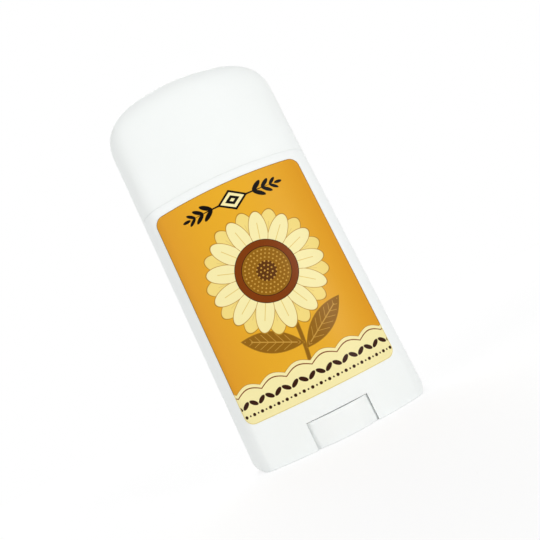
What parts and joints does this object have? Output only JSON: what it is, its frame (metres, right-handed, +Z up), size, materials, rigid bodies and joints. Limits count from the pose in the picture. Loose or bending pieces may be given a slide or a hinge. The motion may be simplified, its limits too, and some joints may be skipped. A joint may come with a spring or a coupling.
{
  "type": "deodorant stick",
  "caption": "Oval twist-up deodorant stick with a domed pull-off cap, a label on its front face and a hand wheel in the base that raises the stick on a screw.",
  "frame": {"origin": "middle of the base, on the surface that the pack stands on", "axes": "+Z up along the pack, +X across its width to the right seen from the front, front face towards -Y"},
  "size_m": [0.058, 0.0348, 0.1244],
  "materials": {
    "barrel_plastic": "white moulded polypropylene, satin gloss",
    "label_film": "printed film label in amber, cream and brown, satin",
    "cap_plastic": "white moulded polypropylene, satin gloss",
    "wheel_plastic": "white moulded plastic, satin gloss",
    "screw_plastic": "white moulded plastic",
    "platform_plastic": "white moulded polyethylene, matt",
    "stick_wax": "opaque waxy solid, soft sheen"
  },
  "bodies": {
    "barrel": {"barrel": "barrel_plastic", "front_label": "label_film"},
    "turning_unit": {"hand_wheel": "wheel_plastic", "screw_spindle": "screw_plastic"},
    "stick_unit": {"platform": "platform_plastic", "stick": "stick_wax"},
    "cap": {"cap": "cap_plastic"}
  },
  "joints": [
    {"name": "wheel_turn", "type": "hinge", "parent": "barrel", "child": "turning_unit", "pos_m": [0, 0, 0], "axis": [0, 0, -1], "range_deg": [-4608, 792]},
    {"name": "stick_rise", "type": "slide", "parent": "barrel", "child": "stick_unit", "axis": [0, 0, 1], "range_m": [-0.064, 0.011]},
    {"name": "cap_lift", "type": "slide", "parent": "barrel", "child": "cap", "axis": [0, 0, 1], "range_m": [0, 0.045]}
  ],
  "couplings": [
    {"joint": "wheel_turn", "follows": "stick_rise", "rad_per_m": 1256.6}
  ]
}
